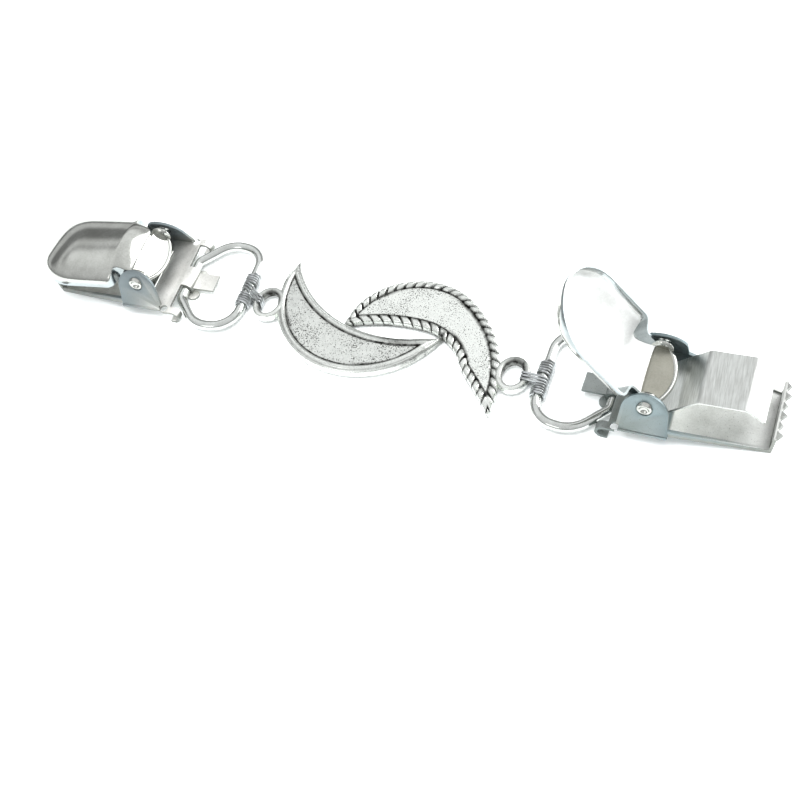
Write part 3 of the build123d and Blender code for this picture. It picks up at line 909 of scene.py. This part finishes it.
def eye_ring(name, middle, tarnish):
    """An oval loop with a rounded limb that is taller than it is wide."""
    points = []
    faces = []
    hollow = []
    for index in range(EYE_AROUND):
        turn = 2 * math.pi * index / EYE_AROUND
        spot = Vector((EYE_MID[0] * math.cos(turn), EYE_MID[1] * math.sin(turn), 0))
        out = Vector((math.cos(turn) / EYE_MID[0], math.sin(turn) / EYE_MID[1], 0)).normalized()
        start, end = index * EYE_SECTION, (index + 1) % EYE_AROUND * EYE_SECTION
        for number in range(EYE_SECTION):
            bend = 2 * math.pi * number / EYE_SECTION
            side_way, up_way = math.cos(bend), math.sin(bend)
            rise = Vector((0, 0, EYE_RISE * blunt(up_way)))
            points.append(spot + out * EYE_LIMB * blunt(side_way) + rise)
            on_top = tarnish * max(0, up_way) * max(0, math.sin(turn + 0.4))
            # Painted shade on the limb's inner side and underside; the tarnish adds patina on top.
            hollow.append(min(1, 0.8 * max(0, -side_way) + 0.45 * max(0, -up_way) + 0.15 + on_top))
            beside = (number + 1) % EYE_SECTION
            faces.append((start + number, end + number, end + beside, start + beside))
    piece = mesh_piece(name, points, faces, Matrix.Translation(middle * MM))
    store_mark(piece, "hollow", hollow)
    return piece


casting.append(eye_ring("left_eye", EYE_AT["left"], 0.2))
casting.append(eye_ring("right_eye", EYE_AT["right"], 0.6))
for piece in casting:
    weld(piece, 0.0005)
    settle(piece, "crescent_ornament", "chain", ornament_silver)
print("ornament:", sum(len(piece.data.polygons) for piece in casting), "faces")

# %% [markdown]
# The lever is one pressed sheet. A solidify modifier could thicken a bent surface, but it throws spikes
# where the sheet is creased. So the inner face is laid inside the outer one along its normals, and both are
# joined round the rim. The sheet also stores the mark that tells the finish where it is outside, at the edge
# with its painted shade, inside the cap with its painted highlight, or on the tail.

# %% A pressed sheet
EDGE_MARKS = [0.25, 0.25, 0.25, 0.2]


def sheet(name, grid, thickness, place, shades):
    """Grid rows run along x and their points along y; shades has each inner row's mark."""
    rows, count = len(grid), len(grid[0])
    outer = [Vector(point) for row in grid for point in row]
    faces = []
    for row in range(rows - 1):
        for index in range(count - 1):
            start = row * count + index
            faces.append((start, start + count, start + count + 1, start + 1))
    probe = bpy.data.meshes.new("probe")
    probe.from_pydata(outer, [], faces)
    probe.update()
    inner = [point - corner.normal * thickness for point, corner in zip(outer, probe.vertices)]
    bpy.data.meshes.remove(probe)
    total = len(outer)
    rim = list(range(count)) + [row * count + count - 1 for row in range(1, rows)]
    rim += [(rows - 1) * count + index for index in range(count - 2, -1, -1)]
    rim += [row * count for row in range(rows - 2, 0, -1)]
    closed = faces + [tuple(total + index for index in reversed(face)) for face in faces]
    closed += [(a, b, total + b, total + a) for a, b in zip(rim, rim[1:] + rim[:1])]
    piece = mesh_piece(name, outer + inner, closed, place)
    # The edge points, outside and in, take the edges' painted shade. The inner rows take the cap's painted
    # highlight or the tail's darker grey.
    edge = EDGE_MARKS + [0.0] * (count - 2 * len(EDGE_MARKS)) + EDGE_MARKS[::-1]
    outside = [value if shade < 1 else 0.0 for shade in shades for value in edge]
    within = [value or shade if shade < 1 else shade for shade in shades for value in edge]
    store_mark(piece, "inside", outside + within)
    return weld(piece, 0.0005)


print("a sheet marks", 2 * len(EDGE_MARKS), "points of each row as its edge")

# %% [markdown]
# The lever's tail is a lens-shaped flap behind the crease: it stands up as the cam
# that presses the tongue down. Its rows start at a point, widen as an arc does, and
# grow to the neck's width. Each row of the lever is drawn as a height over shares of
# its half width, with a short side wall at both ends.

# %% The tail's rows
NECK = 5.55
LENS_HALF = 5.3
TAIL_TIP = (-2.587, -2.036)
TAIL_DIRECTION = (0.699, 0.715)
TAIL_RADIUS = 8.517
LENS_RUN = 1.85
CREASE_RUN = 5.05
TAIL_RUNS = (0.01, 0.05, 0.15, 0.3, 0.5, 0.8, 1.1, 1.5, 1.85, 2.2, 2.7, 3.3, 3.9, 4.2, 4.5, 4.8)
half_shares = np.array([0, 0.12, 0.25, 0.38, 0.5, 0.61, 0.71, 0.8, 0.87, 0.92, 0.955, 0.98, 1.0])
SHARES = np.concatenate((-half_shares[::-1], half_shares[1:]))


def smooth(value, low, high):
    share = min(1.0, max(0.0, (value - low) / (high - low)))
    return share * share * (3 - 2 * share)


def round_off(gap, radius):
    """How far a rounded edge has dropped, at a gap from the edge."""
    near = np.clip(radius - gap, 0, radius)
    return radius - np.sqrt(radius ** 2 - near ** 2)


def sheet_row(x, half, top, foot):
    """One row across the sheet, with its two side walls down to the foot."""
    sides = [(x, half, foot), (x, half, foot * 0.6 + top[0] * 0.4)]
    row = [(px, -py, pz) for px, py, pz in sides]
    return row + [(x, y, z) for y, z in zip(SHARES * half, top)] + sides[::-1]


def tail_rows():
    rows = []
    for run in TAIL_RUNS:
        lens = math.sqrt(2 * TAIL_RADIUS * run - run * run) if run < LENS_RUN else LENS_HALF
        half = lens + (NECK - LENS_HALF) * smooth(run, LENS_RUN, 3.0)
        rise = smooth(run, 3.9, CREASE_RUN)
        top = TAIL_TIP[1] + TAIL_DIRECTION[1] * run - 0.25 * (SHARES * half / NECK) ** 2 * run / CREASE_RUN
        top -= round_off((1 - np.abs(SHARES)) * half, 0.6 * rise + 0.001)
        foot = (top[0] - 0.2) * (1 - rise)
        rows.append(sheet_row(TAIL_TIP[0] + TAIL_DIRECTION[0] * run, half, top, foot))
    return rows


print("tail:", len(tail_rows()), "rows of", len(SHARES) + 4, "points")

# %% [markdown]
# In front of the crease the sheet is a neck that fits between the ears, a short
# shoulder, and the cap with its round nose. Its section is a low arch, so that light
# runs along the cap in bands, and its crown line falls to the crease and to the nose.

# %% The cap's rows
CREASE_X = 0.943
CAP_HALF = 8.4
NOSE_X = 15
NOSE_REACH = 9
ARCH_POWER = 2.1
SHOULDER_END = 6.8
neck = [(CREASE_X, NECK), (1.12, NECK), (1.6, NECK), (2.4, NECK), (3.2, NECK), (3.75, 5.6), (4.1, 5.75)]
neck += [(4.3, 6.05), (4.42, 6.5), (4.52, 7.0), (4.68, 7.5), (4.95, 7.95), (5.4, 8.27), (6.1, CAP_HALF)]
flanks = [(x, CAP_HALF) for x in np.arange(6.9, NOSE_X, 0.8)]
nose_turns = np.radians(np.linspace(0, 89, 26))
nose = [(NOSE_X + NOSE_REACH * math.sin(turn), CAP_HALF * math.cos(turn)) for turn in nose_turns]


def roof(x):
    """The cap's crown line: up from the crease, level, then down to the nose."""
    return 4.22 - 0.3325 * max(0.0, 4.6 - x) ** 1.6 - 0.0095 * max(0.0, x - 14) ** 2.5


def cap_rows():
    outline = np.array(flanks + nose)
    dense = np.concatenate([np.linspace(a, b, 30) for a, b in zip(outline[:-1], outline[1:])])
    rows = []
    for x, half in neck + flanks + nose:
        across = np.abs(SHARES * half)
        arch = (1 - np.minimum(across / CAP_HALF, 0.999) ** ARCH_POWER) ** (1 / ARCH_POWER)
        top = roof(x) * arch
        if x < SHOULDER_END:
            top -= round_off(half - across, 0.6)
        else:
            away = nearest(np.stack((np.full(len(across), x), across), axis=1), dense)[0]
            top -= round_off(away, 0.6 + 1.0 * smooth(x, 12, 20))
        if x == CREASE_X:
            top -= 0.2
        rows.append(sheet_row(x, half, np.maximum(top, 0.4), 0))
    return rows


print("cap:", len(cap_rows()), "rows, crown at", roof(10), "mm")

# %% [markdown]
# Two small parts finish the lever. The tail's arched edge is curled back into a bead,
# which is a thin tube along the arch. The pips that turn in the ears' holes are
# turned forms: a profile of radius and place, spun about the axis, with a dished end.

# %% Pips and beads
PIP = [(0, 5.1), (1.9, 5.1), (1.9, 5.55), (1.85, 5.6), (1.3, 5.6), (1.3, 7.32), (1.22, 7.46), (1.08, 7.5)]
PIP += [(0.9, 7.5), (0.8, 7.36), (0.6, 7.14), (0.35, 6.98), (0, 6.93)]
PIP_SIDES = 32
BEAD_TIP = (-2.43, -2.19)
BEAD_RADIUS = 0.4


def turned(name, profile, place):
    """A turned form about the y axis, from its (radius, y) profile."""
    points = []
    for radius, y in profile:
        for number in range(PIP_SIDES):
            turn = 2 * math.pi * number / PIP_SIDES
            points.append((radius * math.cos(turn), y, radius * math.sin(turn)))
    faces = []
    for row in range(len(profile) - 1):
        low, high = row * PIP_SIDES, (row + 1) * PIP_SIDES
        for number in range(PIP_SIDES):
            beside = (number + 1) % PIP_SIDES
            faces.append((low + number, low + beside, high + beside, high + number))
    return weld(mesh_piece(name, points, faces, place))


def tail_bead(name, place):
    path = []
    for y in np.linspace(-LENS_HALF, LENS_HALF, 41):
        run = TAIL_RADIUS - math.sqrt(TAIL_RADIUS ** 2 - y * y)
        path.append((BEAD_TIP[0] + TAIL_DIRECTION[0] * run, y, BEAD_TIP[1] + TAIL_DIRECTION[1] * run))
    return tube(name, path, BEAD_RADIUS, 16, place)


print("a pip sticks out", round(PIP[7][1] - NECK, 2), "mm from the neck")

# %% [markdown]
# Both levers are the same pressing. The left one is shut and the right one stands
# open, so each is drawn in the frame of its pips and turned there, as on the real
# clip, and all its parts ride on the flap's body.

# %% Levers
LEVER_TURN = {"left": -7.0, "right": 125.0}
LEVER_SHEET = 0.42
for side in SIDES:
    place = clip_frame[side] @ Matrix.Translation(PIVOT_AT * MM)
    place = place @ Matrix.Rotation(math.radians(-LEVER_TURN[side]), 4, "Y")
    tail, cap = tail_rows(), cap_rows()
    # 0.5 gives the cap's inside its painted highlight, and 1.0 gives the tail's inner face its darker beige
    # grey.
    shades = [1.0] * len(tail) + [0.5] * len(cap)
    shell = sheet(side + "_lever_sheet", tail + cap, LEVER_SHEET, place, shades)
    parts = [soften(shell, 0.1, 50), tail_bead(side + "_tail_bead", place)]
    parts.append(turned(side + "_far_pip", PIP, place))
    parts.append(turned(side + "_near_pip", [(radius, -y) for radius, y in PIP], place))
    for piece in parts:
        settle(piece, side + "_lever", side + "_flap", lever_nickel)
    print(side, "lever:", sum(len(piece.data.polygons) for piece in parts), "faces")

# %% [markdown]
# The tongue is one bent strip: flat where it is held, up round the tail, then level
# and curled down at its end. A bent plane would have no edges, so a thin section with
# small chamfers is swept along the bent line. Under the shut lever it is pressed
# down by a few degrees about its root.

# %% Tongues
LEAF_LINE = [(7.0, 0.876), (9.371, 1.125), (16.0, 7.0), (23.68, 7.3), (26.32, 5.065)]
LEAF_BENDS = [0.001, 1.0, 1.2, 1.6, 0.001]
LEAF_ROOT = (5.8, 0.75)
LEAF_SECTION = [(5.3, -0.12), (5.3, 0.12), (5.22, 0.2), (-5.22, 0.2)]
LEAF_SECTION += [(-y, -z) for y, z in LEAF_SECTION]
LEAF_DROP = {"left": 5.5, "right": 0.0}


def leaf(name, drop, place):
    turn = math.radians(drop)
    run = []
    for x, z, _ in rounded_path(LEAF_LINE, LEAF_BENDS):
        dx, dz = x - LEAF_ROOT[0], z - LEAF_ROOT[1]
        ahead = LEAF_ROOT[0] + dx * math.cos(turn) + dz * math.sin(turn)
        run.append(Vector((ahead, 0, LEAF_ROOT[1] - dx * math.sin(turn) + dz * math.cos(turn))))
    points = []
    for behind, spot, ahead in zip([run[0], *run[:-1]], run, [*run[1:], run[-1]]):
        along = (ahead - behind).normalized()
        up = Vector((-along.z, 0, along.x))
        points += [spot + Vector((0, y, 0)) + up * high for y, high in LEAF_SECTION]
    sides = len(LEAF_SECTION)
    faces = [tuple(range(sides)), tuple(reversed(range(len(points) - sides, len(points))))]
    for start in range(0, len(points) - sides, sides):
        for number in range(sides):
            beside = (number + 1) % sides
            faces.append((start + number, start + sides + number, start + sides + beside, start + beside))
    return weld(mesh_piece(name, points, faces, place, smooth=False), 0.0005)


for side in SIDES:
    strip = soften(leaf(side + "_leaf_strip", LEAF_DROP[side], clip_frame[side]), 0.05, 60)
    settle(strip, side + "_tongue", side + "_leaf", tongue_steel)
    print(strip.name, len(strip.data.vertices), "vertices")

# %% [markdown]
# The base is one pressed sheet with sharp features: hem, ears, tray and toothed lip.
# The packed model already has all of them, so its mesh is copied: flat faces are joined again, and every
# sharp edge gets a small bevel. The copy also stores where the ears are, for their painted reflection, and
# which part of the right base lies in the open lever's shadow, for its painted shadow.

# %% Bases
EAR_X = (4, 12)
EAR_Y = 5.6
EAR_FOOT_Y = 6.5
FLOOR_Z = 0.9
SHADOW_X = 9.5
BASE_SHADOW = {"left": 0.0, "right": 0.6}


def on_ear(spot):
    """Whether a corner of the base is on an ear: farther out at the foot than above it."""
    return EAR_X[0] < spot.x < EAR_X[1] and abs(spot.y) > (EAR_Y if spot.z > FLOOR_Z else EAR_FOOT_Y)


def rounded_copy(side, node, name, width):
    data = frame["nodes"][node].data.copy()
    data.name = name
    data.transform(frame["nodes"][node].matrix_world)
    piece = bpy.data.objects.new(name, data)
    bpy.context.scene.collection.objects.link(piece)
    shape = bmesh.new()
    shape.from_mesh(data)
    bmesh.ops.remove_doubles(shape, verts=shape.verts, dist=0.002 * MM)
    bmesh.ops.dissolve_limit(shape, angle_limit=math.radians(1.5), verts=shape.verts, edges=shape.edges)
    bmesh.ops.recalc_face_normals(shape, faces=shape.faces)
    shape.to_mesh(data)
    shape.free()
    data.polygons.foreach_set("use_smooth", [True] * len(data.polygons))
    back = clip_frame[side].inverted()
    spots = [back @ corner.co / MM for corner in data.vertices]
    # The ears' mark places their painted reflection, and the shadow mark places the painted shadow on the
    # right base's wing.
    store_mark(piece, "ear", [float(on_ear(spot)) for spot in spots])
    shaded = [spot.x < SHADOW_X and spot.z < FLOOR_Z for spot in spots]
    store_mark(piece, "shadow", [BASE_SHADOW[side] * value for value in shaded])
    return soften(piece, width, 32)


for side in SIDES:
    piece = rounded_copy(side, side + "_base", side + "_pressed_base", 0.12)
    settle(piece, side + "_base", side + "_clip", clip_nickel[side])
    print(piece.name, len(piece.data.polygons), "faces")

# %% [markdown]
# The chain lies on a very pale ground that almost burns out in the photograph. A real
# floor keeps a faint shadow under the metal. It glows a little, since more light
# alone would burn out the metal too.


# %% Ground
def ground():
    data = bpy.data.meshes.new("ground")
    data.from_pydata([(-2, -2, 0), (2, -2, 0), (2, 2, 0), (-2, 2, 0)], [], [(0, 1, 2, 3)])
    plane = bpy.data.objects.new("ground", data)
    bpy.context.scene.collection.objects.link(plane)
    paper = Finish("pale ground", (0.90, 0.925, 0.925), 0.0, 0.8)
    paper.fix("Emission Color", (0.92, 0.95, 0.95, 1))
    paper.fix("Emission Strength", 0.15)
    paper.paint(plane)
    return plane


floor = ground()
print("ground is", [round(value) for value in floor.dimensions], "m")

# %% [markdown]
# Bright metal shows what stands round it. A picture of a room could light it, but a
# few bands of grey do the same and can be tuned: behind the piece, where the caps
# mirror it, the room has a dark band between two light ones, and in front it is
# plain. The two halves are mixed by how far a direction points to the back.

# %% The room that the metal mirrors
BEHIND = [(0.0, 0.5), (0.49, 0.5), (0.5, 0.25), (0.53, 0.25), (0.56, 0.8), (0.63, 0.8), (0.665, 0.27)]
BEHIND += [(0.745, 0.29), (0.775, 0.9), (0.792, 0.9), (0.807, 0.4), (0.83, 1.15), (0.95, 1.15), (1.0, 1.0)]
BEFORE = [(0.0, 0.5), (0.49, 0.5), (0.5, 0.25), (0.56, 0.5), (0.7, 0.75), (0.85, 0.95), (1.0, 1.0)]


def sky():
    world = bpy.data.worlds.new("soft room")
    world.use_nodes = True
    bpy.context.scene.world = world
    room = Nodes(world.node_tree, "Background")
    direction = room.node("ShaderNodeTexCoord", output="Generated")
    to_back = room.node("ShaderNodeSeparateXYZ", {}, {"Vector": direction}, output="Y")
    up = room.node("ShaderNodeSeparateXYZ", {}, {"Vector": direction}, output="Z")
    halves = []
    for bands in (BEFORE, BEHIND):
        stops = [(spot, (grey, grey * 1.01, grey * 1.02)) for spot, grey in bands]
        halves.append(room.node("ShaderNodeValToRGB", {"stops": stops}, {0: up * 0.5 + 0.5}))
    room.feed("Color", room.mix(to_back * 3.0 + 0.7, *halves))
    return world


studio = sky()
print(studio.name, "has", len(BEHIND), "stops behind and", len(BEFORE), "in front")

# %% [markdown]
# Four soft lights stand for the windows and boards of a studio: a low one at the side
# for the open cap, one at the rear for the tails, a weak one in front, and a wide one
# overhead that lights the ground and hides from the mirrors. Small lamps would leave
# hard glints that the photograph doesn't show.


# %% Lights
def softbox(name, spot, aim, size, watts):
    light = bpy.data.lights.new(name, "AREA")
    light.shape = "RECTANGLE"
    light.size, light.size_y = size
    light.energy = watts
    lamp = bpy.data.objects.new(name, light)
    lamp.location = spot
    lamp.rotation_euler = (Vector(aim) - Vector(spot)).to_track_quat("-Z", "Y").to_euler()
    bpy.context.scene.collection.objects.link(lamp)
    return lamp


lamps = [
    softbox("side light", (0.40, 0.30, 0.10), (0, 0, 0.01), (0.36, 0.18), 1.6),
    softbox("rear light", (0.416, 0.424, 0.5), (0, 0, 0), (0.36, 0.36), 1.3),
    softbox("front light", (-0.25, -0.55, 0.35), (0, 0, 0), (0.30, 0.25), 0.35),
    softbox("overhead light", (0, 0, 0.7), (0, 0, 0), (0.6, 0.6), 8.0),
]
lamps[-1].visible_glossy = False
print("lights:", {lamp.name: round(lamp.data.energy, 2) for lamp in lamps}, "W")

# %% [markdown]
# The camera stands where the photograph was taken from: a hand's length above the
# chain and to its right, turned so that the chain runs down to the right. The plain
# view transform keeps the pale ground white, where a filmic one would grey it.

# %% Camera
CAMERA_AT = (0.06835, -0.120154, 0.17171)
CAMERA_HEADING = 30
CAMERA_TILT = 35.603
CAMERA_ROLL = -16.987
bpy.context.scene.view_settings.view_transform = "Standard"
camera_data = bpy.data.cameras.new("camera")
camera_data.lens = 54
camera_data.sensor_width = 36
camera_data.clip_start = 0.01
camera = bpy.data.objects.new("camera", camera_data)
turns = ((CAMERA_HEADING, "Z"), (CAMERA_TILT, "X"), (CAMERA_ROLL, "Z"))
heading, tilt, roll = (Matrix.Rotation(math.radians(angle), 4, axis) for angle, axis in turns)
camera.matrix_world = Matrix.Translation(CAMERA_AT) @ heading @ tilt @ roll
bpy.context.scene.collection.objects.link(camera)
bpy.context.scene.camera = camera
print("camera at", [round(value, 3) for value in camera.location])

# %% [markdown]
